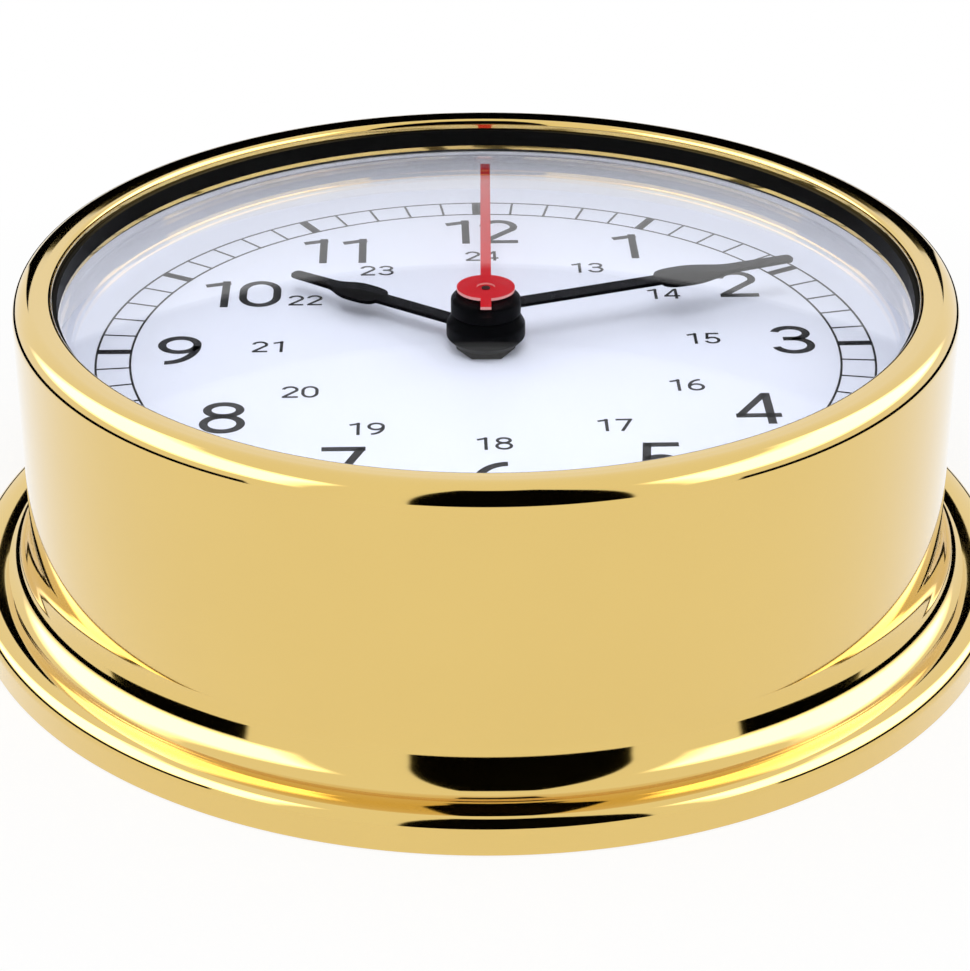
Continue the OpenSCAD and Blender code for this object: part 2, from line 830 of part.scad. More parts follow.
module centre_wheel() {
    color(WHITE)
        difference() {
            wheel_at(3, CENTRE_WHEEL, centre_module,
                     mesh_phase(third_dir + 180, THIRD_PINION, third_dir + 180, CENTRE_WHEEL));
            translate([0, 0, layer(3) - cut]) cylinder(r = minute_r + run_gap, h = wheel_t + 2 * cut);
        }
}

module minute_pipe() {
    foot = layer(3) - flange_under - pipe_flange_t;
    color(BRASS)
        difference() {
            union() {
                translate([0, 0, foot]) cylinder(r = pipe_flange_r, h = pipe_flange_t);
                translate([0, 0, foot]) cylinder(r = minute_r, h = minute_z + minute_boss_h - foot);
                pinion_at(4, MINUTE_PINION, motion_module, motion_dir);
            }
            translate([0, 0, foot - cut]) cylinder(r = minute_bore, h = case_h);
        }
}

module clutch_washer() {
    color(STEEL)
        ring(minute_r + fit_gap, pipe_flange_r,
             layer(3) + wheel_t + flange_under, layer(4) - pinion_over);
}

module motion_wheel() {
    color(WHITE)
        at(motion_at)
            difference() {
                union() {
                    wheel_at(4, MOTION_WHEEL, motion_module, motion_phase);
                    pinion_at(5, MOTION_PINION, hour_module, motion_dir + 180);
                    translate([0, 0, layer(4)])
                        cylinder(r = hub_r, h = mov_ceiling - foot_gap - layer(4));
                }
                translate([0, 0, layer(4) - cut]) cylinder(r = post_bore, h = mov_t);
            }
}

module hour_wheel() {
    color(WHITE)
        difference() {
            union() {
                wheel_at(5, HOUR_WHEEL, hour_module,
                         mesh_phase(motion_dir + 180, MOTION_PINION, motion_dir + 180, HOUR_WHEEL));
                translate([0, 0, layer(5)])
                    cylinder(r = hour_r, h = hour_z + hour_pipe_in - layer(5));
            }
            translate([0, 0, layer(5) - cut]) cylinder(r = hour_bore, h = case_h);
        }
}

module setting_knob() {
    color(BLACK)
        at(setting_at) {
            toothed(SETTING_PINION, motion_module, setting_phase,
                    layer(4) - pinion_over, layer(4) + wheel_t + pinion_over);
            translate([0, 0, knob_top - cut])
                cylinder(r = shaft_r, h = layer(4) - knob_top + cut);
            difference() {
                translate([0, 0, knob_top - knob_h]) cylinder(d = knob_d, h = knob_h);
                around(knob_flutes, 0)
                    translate([knob_d / 2, 0, knob_top - knob_h - cut])
                        cylinder(r = flute_r, h = knob_h + 2 * cut, $fn = 16);
            }
        }
}

// Hands

function bezier(p, n) = [for (k = [1 : n]) let (t = k / n, s = 1 - t)
    s * s * s * p[0] + 3 * s * s * t * p[1] + 3 * s * t * t * p[2] + t * t * t * p[3]];

// One side of a leaf hand, from the stem to the middle of its tip
function leaf_side(length, leaf_at, leaf_w) =
    let (peak = leaf_at + leaf_peak * leaf_w,
         waist = peak + leaf_waist * (length - peak),
         s = stem_w / 2,
         w = leaf_w / 2,
         n = waist_w / 2,
         e = tip_w / 2,
         c = tip_corner * tip_w)
    concat([[s, 0], [s, leaf_at]],
           bezier([[s, leaf_at], [w, leaf_at], [w, peak - leaf_shoulder * leaf_w], [w, peak]], 8),
           bezier([[w, peak], [w, peak + leaf_taper * leaf_w],
                   [n, waist - leaf_shoulder * leaf_w], [n, waist]], 8),
           [[e, length - c]],
           bezier([[e, length - c], [e, length - c / 2], [e - c / 2, length], [e - c, length]], 4));

module leaf_blade(length, leaf_at, leaf_w, z) {
    side = leaf_side(length, leaf_at, leaf_w);
    n = len(side) - 1;
    translate([0, 0, z])
        linear_extrude(blade_t)
            polygon(concat(side, [for (k = [n : -1 : 0]) [-side[k][0], side[k][1]]]));
}

module hour_hand() {
    r = hour_boss_d / 2;
    color(BLACK)
        rotate([0, 0, -hour_angle])
            difference() {
                union() {
                    leaf_blade(hour_len, hour_leaf_at, hour_leaf_w, hour_z + hour_blade_up);
                    rotate_extrude()
                        polygon([[0, hour_z], [r - hour_foot_chamfer, hour_z],
                                 [r, hour_z + hour_foot_chamfer], [r, hour_top - hour_bevel_h],
                                 [r - hour_bevel_w, hour_top], [0, hour_top]]);
                }
                translate([0, 0, hour_z - cut]) cylinder(r = hour_r + fit_gap, h = hour_pipe_in + cut);
                translate([0, 0, hour_z]) cylinder(r = hour_bore, h = hour_boss_h + cut);
            }
}

module minute_hand() {
    r = minute_boss_d / 2;
    c = minute_boss_chamfer;
    color(BLACK)
        rotate([0, 0, -minute_angle])
            difference() {
                union() {
                    leaf_blade(minute_len, minute_leaf_at, minute_leaf_w, minute_z + minute_blade_up);
                    rotate_extrude()
                        polygon([[0, minute_z], [r, minute_z], [r, minute_top - c],
                                 [r - c, minute_top], [0, minute_top]]);
                }
                translate([0, 0, minute_z - cut])
                    cylinder(r = minute_r + fit_gap, h = minute_boss_h + 2 * cut);
            }
}

module seconds_hand() {
    bend = seconds_disc_d / 2;
    side = [[-seconds_tail, 0], [bend, 0], [seconds_len, -seconds_drop],
            [seconds_len, seconds_t - seconds_drop], [bend, seconds_t], [-seconds_tail, seconds_t]];
    color([0.78, 0.05, 0.08])
        rotate([0, 0, -second_angle])
            difference() {
                union() {
                    translate([-seconds_w / 2, 0, seconds_z])
                        rotate([90, 0, 90]) linear_extrude(seconds_w) polygon(side);
                    translate([0, 0, seconds_z]) cylinder(d = seconds_disc_d, h = seconds_t);
                    translate([0, 0, seconds_z - hand_gap]) cylinder(r = recess_r, h = hand_gap);
                }
                translate([0, 0, seconds_z - cut])
                    cylinder(r = arbor_r + fit_gap, h = seconds_t + 2 * cut);
                translate([0, 0, seconds_z + seconds_t - recess_h]) cylinder(r = recess_r, h = cut);
            }
}

// Bulkhead plate

module bulkhead_plate() {
    color(STEEL) {
        difference() {
            ring(window_d / 2, plate_r, 0, plate_t);
            around(bayonets, screw_dir)
                translate([screw_pcd / 2, 0, 0]) {
                    translate([0, 0, -cut]) cylinder(d = screw_d, h = plate_t + 2 * cut);
                    translate([0, 0, plate_t - screw_head_t])
                        cylinder(d1 = screw_d, d2 = screw_head_d, h = screw_head_t);
                }
        }
        around(bayonets, bayonet_dir) {
            sector(hook_post_r - hook_post_w, hook_post_r, plate_t - cut, hook_z + lug_t, hook_arc, 0);
            sector(hook_post_r - hook_post_w, hook_r, hook_z, hook_z + lug_t, hook_arc, 0);
        }
    }
}

case_shell();
base_ring();
bezel_band();
glass_gasket();
glass();
spacer_ring();
dial();
spring_ring();
movement_front();
movement_rear();
bushing();
thin_nut();
dial_washer();
wheel_posts();
stator();
coil();
circuit_board();
quartz_crystal();
battery();
contact_plus();
contact_minus();
rotor();
rotor_magnet();
intermediate_wheel();
seconds_wheel();
third_wheel();
centre_wheel();
minute_pipe();
clutch_washer();
motion_wheel();
hour_wheel();
setting_knob();
hour_hand();
minute_hand();
seconds_hand();
bulkhead_plate();
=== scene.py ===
# Marine clock: the turned case, glass, dial print and hands as smooth meshes, the finish of every piece,
# and a plain white studio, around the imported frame. Sizes are in millimetres and angles in degrees.
import math

import bpy
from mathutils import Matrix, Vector


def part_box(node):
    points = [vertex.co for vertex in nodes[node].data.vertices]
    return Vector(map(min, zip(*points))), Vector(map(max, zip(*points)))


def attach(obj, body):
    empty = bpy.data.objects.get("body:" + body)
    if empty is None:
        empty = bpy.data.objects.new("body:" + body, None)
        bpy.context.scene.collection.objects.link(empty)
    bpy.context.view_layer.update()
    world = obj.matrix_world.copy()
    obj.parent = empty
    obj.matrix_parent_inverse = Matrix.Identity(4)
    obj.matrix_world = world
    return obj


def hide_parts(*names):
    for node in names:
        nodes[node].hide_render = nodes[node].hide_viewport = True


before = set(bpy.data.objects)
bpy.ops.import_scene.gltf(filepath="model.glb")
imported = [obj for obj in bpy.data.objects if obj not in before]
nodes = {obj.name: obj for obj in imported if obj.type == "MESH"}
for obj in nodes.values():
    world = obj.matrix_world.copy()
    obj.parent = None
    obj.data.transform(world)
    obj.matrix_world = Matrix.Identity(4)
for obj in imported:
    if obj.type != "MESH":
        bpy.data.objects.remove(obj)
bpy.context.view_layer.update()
MM = 0.001


# Sizes from the frame

def lowest(node, axis):
    """Lowest place of a node along an axis, in millimetres."""
    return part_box(node)[0][axis] / MM


def highest(node, axis):
    """Highest place of a node along an axis, in millimetres."""
    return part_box(node)[1][axis] / MM


X, Y, Z = 0, 1, 2
base_r = highest("base_ring", X)
spigot_top = highest("base_ring", Z)
barrel_r = highest("case_shell", X)
crest_z = highest("case_shell", Z)
base_top = lowest("case_shell", Z)
band_foot = lowest("bezel_band", Z)
lip_under = highest("glass_gasket", Z)
glass_seat_r = highest("glass", X)
glass_apex = highest("glass", Z)
glass_rim = lowest("glass_gasket", Z)
dial_top = highest("dial", Z)
clip_top = highest("spring_ring", Z)
clip_foot = lowest("spring_ring", Z)

# Case and base moulding
opening_r = 60
counterbore_r = 60.6
bore_r = 64.6
groove_r = 65.4
rim_round = 2.84
rim_crown = 22
rim_fall = 2
rim_inner_round = 0.8
ring_bore_r = 62.8
spigot_r = 64.56
flare_r = 8
lean_h = 0.95
lean_angle = 22
cove_r = 4.2
crown_r = 5.4
crown_from = 73
roll_r = 1.9
roll_z = 3.3
lug_r = 59
lug_arc = 24
lug_foot = 2.9
lug_t = 2
lug_root = 1
lug_count = 3

# Glass
glass_t = 2

# Dial print
track_outer_r = 55.1
track_inner_r = 50.3
track_line = 0.32
minute_tick_w = 0.36
hour_tick_w = 1.4
minute_mark_count = 60
hour_mark_count = 12
ink_t = 0.03
hour_numeral_h = 9.4
hour_numeral_r = 42.8
day_numeral_h = 3.6
day_numeral_r = 31.4

# Digits, as shares of a number's height
digit_w = 0.66
digit_stroke = 0.125
hour_pitch = 0.64
day_pitch = 0.76

# How far right of an even circle and how far up from it each number stands, from one o'clock on
hour_shifts = [(1.6, -0.5), (1.1, 0.1), (1.1, 1.5), (-0.7, 1.0), (0.7, 2.2), (0.1, 3.0),
               (1.7, 2.1), (0.9, 0.2), (-0.8, 0.4), (1.1, -1.5), (-0.4, -1.1), (0.2, 0.3)]
day_shifts = [(0.4, 1.2), (-0.4, 2.6), (-0.2, 2.4), (0.2, 2.9), (0.9, 2.4), (0.2, 1.6),
              (-1.1, 2.2), (1.2, 2.2), (0.6, 1.3), (1.0, 1.7), (0.0, 1.0), (0.3, 2.0)]

# Hands
hour_turn = -305.9
minute_turn = -70.8
blade_t = 0.5
blade_ease = 0.11
stem_w = 2.8
tip_w = 2.1
hour_len = 34.5
hour_leaf_at = 18.4
hour_leaf_w = 5.6
hour_blade_up = 1.75
minute_len = 48
minute_leaf_at = 26.6
minute_leaf_w = 6.2
minute_blade_up = 0.35
hour_bore_r = 2.25
hour_boss_r = 5.6
hour_foot_chamfer = 1.15
hour_top_chamfer_h = 1.4
hour_top_chamfer_w = 0.85
minute_bore_r = 1.36
minute_boss_r = 4.95
minute_chamfer = 0.85
boss_ease = 0.18

# Outline of a leaf: shares of the leaf's width, of the tip's width and of the length past the peak
peak_of_leaf = 0.72
shoulder_of_leaf = 0.3
fall_of_leaf = 0.45
neck_of_tip = 0.6
corner_of_tip = 0.35
waist_of_rest = 0.42

# Steps of a full turn, and of the curves in an outline
turn_steps = 256
glass_steps = 480
boss_steps = 96
stage_steps = 128
arc_step = 4
dome_steps = 60
stroke_steps = 18
leaf_steps = 8
tip_steps = 4

# Merging and smooth shading
weld = 0.001
edge_reach = 0.15
long_run = 0.75
smooth_angle = 28
blade_smooth_angle = 40
blade_sharp_angle = 50

# Photograph
photo_w = 970
focal_px = 2700
axis_px = 0.83
sensor_mm = 36
view_height = 27.97
view_side = -1.63
view_from = 396.28
view_at_z = 12.3
clip_near = 10
clip_far = 20000

# Studio floor and black boards
floor_r = 450
floor_gap = 0.2
floor_glow = 0.8
floor_white_r = 125
floor_fade = 80
side_board_r = 190
side_board_low = 0
side_board_top = 26
side_board_from = 47
back_board_r = 100
back_board_low = 47
back_board_top = 76
back_board_from = 122
board_edge = 1

# Studio light: places in degrees from the front and up from level, each with a soft edge
fill_level = 0.52
flag_left = -18.5
flag_right = 31
flag_side_edge = 1
flag_low = -4
flag_high = 78
flag_top_edge = 2
box_level = 4.0
box_from = 48
box_to = 132
box_side_edge = 10
box_low = 14
box_high = 52
box_top_edge = 8
strip_low = 23.7
strip_high = 35.5
strip_edge = 0.5
veil_far = 0.55
veil_near = 0.25
lamp_from = 900
lamp_up = 60
lamp_size = 500
lamp_watts = 4.3


# Modelling

def deselect():
    bpy.ops.object.select_all(action="DESELECT")


def select(pieces):
    """Selects these pieces alone, the first of them active."""
    deselect()
    for piece in pieces:
        piece.select_set(True)
    bpy.context.view_layer.objects.active = pieces[0]


def apply_place():
    """Puts the place, turn and scale of the selected pieces into their meshes."""
    bpy.ops.object.transform_apply(location=True, rotation=True, scale=True)


def arc(centre, radius, start, end):
    """Points of an arc from one angle to the other, in degrees, in the plane of an outline."""
    count = max(2, math.ceil(abs(end - start) / arc_step))
    angles = [math.radians(start + (end - start) * k / count) for k in range(count + 1)]
    return [(centre[0] + radius * math.cos(a), centre[1] + radius * math.sin(a)) for a in angles]


def supported(outline):
    """The outline with a point near both ends of each long run, so that it is shaded flat."""
    made = [outline[0]]
    for start, end in zip(outline, outline[1:]):
        length = math.dist(start, end)
        if length > long_run:
            for share in (edge_reach / length, 1 - edge_reach / length):
                made.append(tuple(a + (b - a) * share for a, b in zip(start, end)))
        made.append(end)
    return made


def start_point(name, place):
    """A new piece of one vertex at its place, left in edit mode."""
    deselect()
    bpy.ops.mesh.primitive_plane_add(size=MM)
    piece = bpy.context.object
    piece.name = piece.data.name = name
    bpy.ops.object.mode_set(mode="EDIT")
    bpy.ops.mesh.select_all(action="SELECT")
    bpy.ops.mesh.merge(type="CENTER")
    bpy.ops.transform.translate(value=[c * MM for c in place])
    return piece


def draw_line(points):
    """Extrudes the selected vertex from point to point."""
    for start, end in zip(points, points[1:]):
        step = [(b - a) * MM for a, b in zip(start, end)]
        bpy.ops.mesh.extrude_region_move(TRANSFORM_OT_translate={"value": step})


def close_mesh():
    """Merges what coincides and turns every face outwards."""
    bpy.ops.mesh.select_all(action="SELECT")
    bpy.ops.mesh.remove_doubles(threshold=weld * MM)
    bpy.ops.mesh.normals_make_consistent(inside=False)


def smooth(piece, angle=smooth_angle):
    """Leaves edit mode and shades the piece smooth, apart from edges sharper than the angle."""
    bpy.ops.object.mode_set(mode="OBJECT")
    bpy.ops.object.shade_smooth_by_angle(angle=math.radians(angle))
    return piece


def turned(name, outline, steps=turn_steps, closed=True):
    """A piece turned on the hand axis from an outline of (radius, height) points."""
    points = supported(outline + outline[:1]) if closed else outline
    points = [(r, 0, z) for r, z in points]
    piece = start_point(name, points[0])
    draw_line(points)
    bpy.ops.mesh.select_all(action="SELECT")
    bpy.ops.mesh.spin(steps=steps, angle=math.tau, center=(0, 0, 0), axis=(0, 0, 1))
    close_mesh()
    return smooth(piece)


def slab(name, outline, push):
    """A flat outline of 3-D points, filled and given its thickness."""
    piece = start_point(name, outline[0])
    draw_line(outline + outline[:1])
    bpy.ops.mesh.select_all(action="SELECT")
    bpy.ops.mesh.remove_doubles(threshold=weld * MM)
    bpy.ops.mesh.edge_face_add()
    bpy.ops.mesh.extrude_region_move(TRANSFORM_OT_translate={"value": [c * MM for c in push]})
    close_mesh()
    return smooth(piece)


def copies_round(piece, count):
    """The piece just made, copied round the hand axis in its own mesh."""
    bpy.ops.object.mode_set(mode="EDIT")
    bpy.ops.mesh.select_all(action="SELECT")
    bpy.ops.mesh.spin(steps=count, dupli=True, angle=math.tau, center=(0, 0, 0), axis=(0, 0, 1))
    close_mesh()
    bpy.ops.object.mode_set(mode="OBJECT")
    return piece


def join(name, pieces):
    """One piece from several, under a new name."""
    select(pieces)
    bpy.ops.object.join()
    whole = bpy.context.object
    whole.name = whole.data.name = name
    return whole


def turn_on_axis(piece, degrees):
    """Turns a piece about the hand axis, with the turn in its mesh."""
    select([piece])
    piece.rotation_euler.z = math.radians(degrees)
    apply_place()
    return piece


# Shader expressions

class Shade:
    """A socket of a node tree. Arithmetic on it adds Math nodes, and node() adds any other kind."""

    def __init__(self, tree, socket=None):
        self.tree = tree
        self.socket = socket

    def node(self, kind, settings=None, inputs=None, output=0):
        """Adds a node of this kind, with its settings, then the values or links of its sockets."""
        made = self.tree.nodes.new("ShaderNode" + kind)
        for name, value in (settings or {}).items():
            setattr(made, name, value)
        for name, value in (inputs or {}).items():
            if isinstance(value, Shade):
                self.tree.links.new(value.socket, made.inputs[name])
            else:
                made.inputs[name].default_value = value
        return Shade(self.tree, made.outputs[output] if len(made.outputs) else None)

    def math(self, operation, *values, clamp=False):
        return self.node("Math", {"operation": operation, "use_clamp": clamp}, dict(enumerate(values)))

    def __add__(self, other):
        return self.math("ADD", self, other)

    def __sub__(self, other):
        return self.math("SUBTRACT", self, other)

    def __rsub__(self, other):
        return self.math("SUBTRACT", other, self)

    def __mul__(self, other):
        return self.math("MULTIPLY", self, other)

    __radd__ = __add__
    __rmul__ = __mul__

    def above(self, level, soft):
        """0 below the level and 1 above it, over a soft edge."""
        return self.math("MULTIPLY_ADD", self, 1 / soft, 0.5 - level / soft, clamp=True)

    def between(self, low, high, soft):
        """1 from the low level to the high one and 0 outside of them, over soft edges."""
        return self.above(low, soft) * (1 - self.above(high, soft))

    def blend(self, first, second):
        """Colour that goes from the first to the second as this value goes from 0 to 1."""
        return self.node("Mix", {"data_type": "RGBA"}, {0: self, 6: first, 7: second}, 2)


class Surface:
    """What most finishes start from: coordinates in millimetres, noise, and the shader at the end."""

    def __init__(self, name):
        self.material = bpy.data.materials.new(name)
        self.material.use_nodes = True
        tree = self.material.node_tree
        tree.nodes.clear()
        self.start = Shade(tree)
        place = self.start.node("TexCoord", output="Object")
        self.place = self.start.node("VectorMath", {"operation": "SCALE"}, {0: place, "Scale": 1 / MM})

    def axis(self, name):
        return self.start.node("SeparateXYZ", {}, {0: self.place}, name)

    def radius(self):
        """Distance from the hand axis."""
        x, y = self.axis("X"), self.axis("Y")
        return self.start.math("SQRT", x * x + y * y)

    def vector(self, x, y, z):
        return self.start.node("CombineXYZ", {}, {0: x, 1: y, 2: z})

    def noise(self, size, detail=2.0, where=None):
        """Noise whose lumps are about this many millimetres across."""
        lumps = {"Vector": where or self.place, "Scale": 1 / size, "Detail": detail}
        return self.start.node("TexNoise", {}, lumps)

    def bump(self, height, depth):
        return self.start.node("Bump", {}, {"Height": height, "Distance": depth * MM})

    def shader(self, **inputs):
        """The shader, with its sockets named as keywords."""
        named = {name.replace("_", " "): value for name, value in inputs.items()}
        return self.start.node("BsdfPrincipled", {}, named)

    def done(self, shader):
        self.start.node("OutputMaterial", {}, {"Surface": shader})
        return self.material


def rgb(red, green, blue):
    return (red, green, blue, 1.0)


# Colours of the plain finishes, from and to
dial_white = (rgb(0.80, 0.83, 0.95), rgb(0.77, 0.805, 0.935))
ring_white = (rgb(0.94, 0.94, 0.97), rgb(0.91, 0.91, 0.95))
steel = (rgb(0.46, 0.47, 0.50), rgb(0.30, 0.31, 0.34))
plating = (rgb(0.72, 0.72, 0.73), rgb(0.58, 0.58, 0.60))
magnet = (rgb(0.10, 0.10, 0.11), rgb(0.05, 0.05, 0.055))
housing_black = (rgb(0.014, 0.014, 0.015), rgb(0.022, 0.022, 0.024))
nylon_white = (rgb(0.80, 0.79, 0.74), rgb(0.72, 0.71, 0.65))


# Finishes

def polished_brass():
    """Lacquered mirror brass: faint clouds of colour, a breath of haze, and sheet that isn't quite true."""
    s = Surface("polished_brass_finish")
    clouds = s.noise(22, detail=3.0)
    haze = s.noise(4, detail=4.0)
    colour = clouds.blend(rgb(0.775, 0.54, 0.135), rgb(0.74, 0.51, 0.125))
    true = s.bump(s.noise(14, detail=1.0), depth=0.012)
    return s.done(s.shader(Base_Color=colour, Metallic=1.0, Roughness=0.045 + 0.025 * haze,
                           Coat_Weight=0.9, Coat_IOR=1.75, Normal=true))


def turned_brass():
    """Lathe-turned brass with fine rings about the hand axis."""
    s = Surface("turned_brass_finish")
    rings = s.noise(0.12, where=s.vector(s.radius(), 0.0, s.axis("Z")))
    colour = s.noise(8, detail=3.0).blend(rgb(0.78, 0.56, 0.20), rgb(0.70, 0.48, 0.16))
    return s.done(s.shader(Base_Color=colour, Metallic=1.0, Roughness=0.2 + 0.12 * rings,
                           Normal=s.bump(rings, depth=0.01)))


def black_band():
    """Satin black strip with fine lines along it."""
    s = Surface("black_band_finish")
    turn = s.start.math("ARCTAN2", s.axis("Y"), s.axis("X"))
    stretch = 0.4
    lines = s.noise(0.09, where=s.vector(turn * stretch, s.axis("Z"), 0.0))
    colour = lines.blend(rgb(0.002, 0.002, 0.002), rgb(0.006, 0.006, 0.006))
    return s.done(s.shader(Base_Color=colour, Roughness=0.34 + 0.16 * lines, Specular_IOR_Level=0.03,
                           Normal=s.bump(lines, depth=0.01)))


def black_rubber():
    """Moulded rubber with a coarse grain."""
    s = Surface("black_rubber_finish")
    grain = s.noise(0.3, detail=3.0)
    colour = grain.blend(rgb(0.010, 0.010, 0.011), rgb(0.03, 0.03, 0.032))
    return s.done(s.shader(Base_Color=colour, Roughness=0.62 + 0.2 * grain,
                           Normal=s.bump(grain, depth=0.03)))


def clear_glass():
    """Clear domed glass that lets lamps through."""
    s = Surface("clear_glass_finish")
    tint = s.noise(30).blend(rgb(0.985, 0.99, 1.0), rgb(0.97, 0.98, 0.995))
    glass = s.shader(Base_Color=tint, Roughness=0.0, IOR=1.5, Transmission_Weight=1.0,
                     Specular_IOR_Level=0.28)
    clear = s.start.node("BsdfTransparent", {}, {"Color": rgb(0.97, 0.975, 0.98)})
    shadow = s.start.node("LightPath", output="Is Shadow Ray")
    return s.done(s.start.node("MixShader", {}, {0: shadow, 1: glass, 2: clear}))


def white_enamel(name, first, second):
    """Stoved white enamel with the faintest unevenness."""
    s = Surface(name)
    grain = s.noise(0.4)
    colour = s.noise(16, detail=3.0).blend(first, second)
    return s.done(s.shader(Base_Color=colour, Roughness=0.38 + 0.08 * grain,
                           Normal=s.bump(grain, depth=0.002)))


def metal(name, first, second, rough, grain):
    """Plain plated or rolled metal with a drawn grain."""
    s = Surface(name)
    stretch = 0.06
    along = s.vector(s.axis("X") * stretch, s.axis("Y"), s.axis("Z"))
    drawn = s.noise(grain, detail=3.0, where=along)
    colour = s.noise(5, detail=3.0).blend(first, second)
    return s.done(s.shader(Base_Color=colour, Metallic=1.0, Roughness=rough + 0.14 * drawn,
                           Normal=s.bump(drawn, depth=0.006)))


def plastic(name, first, second, rough):
    """Moulded plastic with a fine spark-eroded grain."""
    s = Surface(name)
    grain = s.noise(0.22)
    colour = s.noise(9, detail=3.0).blend(first, second)
    return s.done(s.shader(Base_Color=colour, Roughness=rough + 0.15 * grain,
                           Normal=s.bump(grain, depth=0.012)))


def nylon_on_arbor():
    """White nylon wheel on a blackened steel arbor, which shows from the dial up."""
    s = Surface("nylon_on_arbor_finish")
    arbor = s.axis("Z").above(dial_top, soft=0.2)
    grain = s.noise(0.22)
    nylon = s.noise(9, detail=3.0).blend(*nylon_white)
    colour = arbor.blend(nylon, rgb(0.012, 0.008, 0.008))
    return s.done(s.shader(Base_Color=colour, Roughness=0.45 + 0.15 * grain, Specular_IOR_Level=0.2,
                           Normal=s.bump(grain, depth=0.012)))


def copper_winding():
    """Enamelled copper wire laid turn beside turn along the coil, its colour painted light on each turn's
    crest and painted shade in the grooves between turns.
    """
    s = Surface("copper_winding_finish")
    wire_rate = 40.0
    turns = s.start.math("SINE", s.axis("Y") * wire_rate)
    # Painted light and shade: the copper is painted bright on each turn's crest and dark in the groove
    # between turns
    colour = turns.above(0.0, soft=1.6).blend(rgb(0.30, 0.09, 0.03), rgb(0.75, 0.32, 0.14))
    return s.done(s.shader(Base_Color=colour, Metallic=0.85, Roughness=0.3 + 0.1 * s.noise(1),
                           Coat_Weight=0.4, Normal=s.bump(turns, depth=0.03)))


def green_board():
    """Green solder mask over a few copper tracks."""
    s = Surface("green_board_finish")
    track_rate = 3.4
    tracks = s.start.math("SINE", s.axis("X") * track_rate).above(0.72, soft=0.06)
    speck = s.noise(0.3, detail=3.0)
    colour = tracks.blend(rgb(0.012, 0.11, 0.04), rgb(0.05, 0.24, 0.09))
    return s.done(s.shader(Base_Color=colour, Roughness=0.3 + 0.15 * speck, Coat_Weight=0.3,
                           Normal=s.bump(tracks, depth=0.03)))


def battery_jacket():
    """Printed foil jacket in two plain colours, bare steel at both ends."""
    s = Surface("battery_jacket_finish")
    along = s.axis("X")
    foot_bare, crown_bare, crown_w = 0.8, 2.4, 14
    sleeve = along.between(lowest("battery", X) + foot_bare, highest("battery", X) - crown_bare, soft=0.1)
    crown = along.above(highest("battery", X) - crown_w, soft=0.3)
    print_colour = crown.blend(rgb(0.02, 0.03, 0.05), rgb(0.62, 0.34, 0.10))
    colour = sleeve.blend(rgb(0.62, 0.62, 0.62), print_colour)
    scuff = s.noise(1.2, detail=4.0)
    return s.done(s.shader(Base_Color=colour, Metallic=1 - 0.7 * sleeve, Roughness=0.26 + 0.14 * scuff))


def black_lacquer():
    """Satin black lacquer with a little orange peel."""
    s = Surface("black_lacquer_finish")
    peel = s.noise(0.7)
    colour = s.noise(6).blend(rgb(0.0015, 0.0015, 0.002), rgb(0.003, 0.003, 0.0035))
    return s.done(s.shader(Base_Color=colour, Roughness=0.36 + 0.06 * peel, Specular_IOR_Level=0.03,
                           Normal=s.bump(peel, depth=0.0006)))


def red_lacquer():
    """Red lacquer on the faces, with the cut side faces painted pale as a painted highlight."""
    s = Surface("red_lacquer_finish")
    facing = s.start.node("SeparateXYZ", {}, {0: s.start.node("TexCoord", output="Normal")}, "Z")
    face = s.start.math("ABSOLUTE", facing).above(0.6, soft=0.3)
    peel = s.noise(0.6)
    red = s.noise(5).blend(rgb(0.54, 0.004, 0.012), rgb(0.48, 0.003, 0.010))
    # The side faces get a pale pink: a painted highlight on the blade's cut edges
    colour = face.blend(rgb(0.80, 0.36, 0.34), red)
    return s.done(s.shader(Base_Color=colour, Roughness=0.3 + 0.12 * peel, Specular_IOR_Level=0.12,
                           Normal=s.bump(peel, depth=0.003)))


def dial_ink():
    """Screen-printed black ink, a little uneven."""
    s = Surface("dial_ink_finish")
    grain = s.noise(0.25, detail=3.0)
    colour = grain.blend(rgb(0.003, 0.003, 0.004), rgb(0.012, 0.012, 0.015))
    return s.done(s.shader(Base_Color=colour, Roughness=0.5 + 0.2 * grain,
                           Normal=s.bump(grain, depth=0.004)))


finishes = {
    "polished_brass": polished_brass(),
    "turned_brass": turned_brass(),
    "black_band": black_band(),
    "black_rubber": black_rubber(),
    "clear_glass": clear_glass(),
    "white_enamel": white_enamel("white_enamel_finish", *dial_white),
    "spring_steel": metal("spring_steel_finish", *steel, rough=0.26, grain=0.3),
    "plated_steel": metal("plated_steel_finish", *plating, rough=0.2, grain=0.2),
    "black_plastic": plastic("black_plastic_finish", *housing_black, rough=0.42),
    "white_nylon": plastic("white_nylon_finish", *nylon_white, rough=0.45),
    "copper_winding": copper_winding(),
    "green_board": green_board(),
    "battery_jacket": battery_jacket(),
    "dark_magnet": metal("dark_magnet_finish", *magnet, rough=0.42, grain=0.4),
    "black_lacquer": black_lacquer(),
    "red_lacquer": red_lacquer(),
}
ink = dial_ink()

# Every node takes the finish that its slot names, apart from three
for node in nodes.values():
    for place in node.material_slots:
        place.material = finishes[place.material.name]
nodes["seconds_wheel"].material_slots[0].material = nylon_on_arbor()
nodes["thin_nut"].material_slots[0].material = finishes["black_lacquer"]
nodes["spacer_ring"].material_slots[0].material = white_enamel("ring_white_finish", *ring_white)


def fit(piece, body, slot, *stands_for, finish=None):
    """Gives a new piece its finish, the slot's unless one is given, and its body, and hides the nodes that
    it stands for.
    """
    piece.data.materials.clear()
    piece.data.materials.append(finish or finishes[slot])
    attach(piece, body)
    if stands_for:
        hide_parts(*stands_for)


# Case

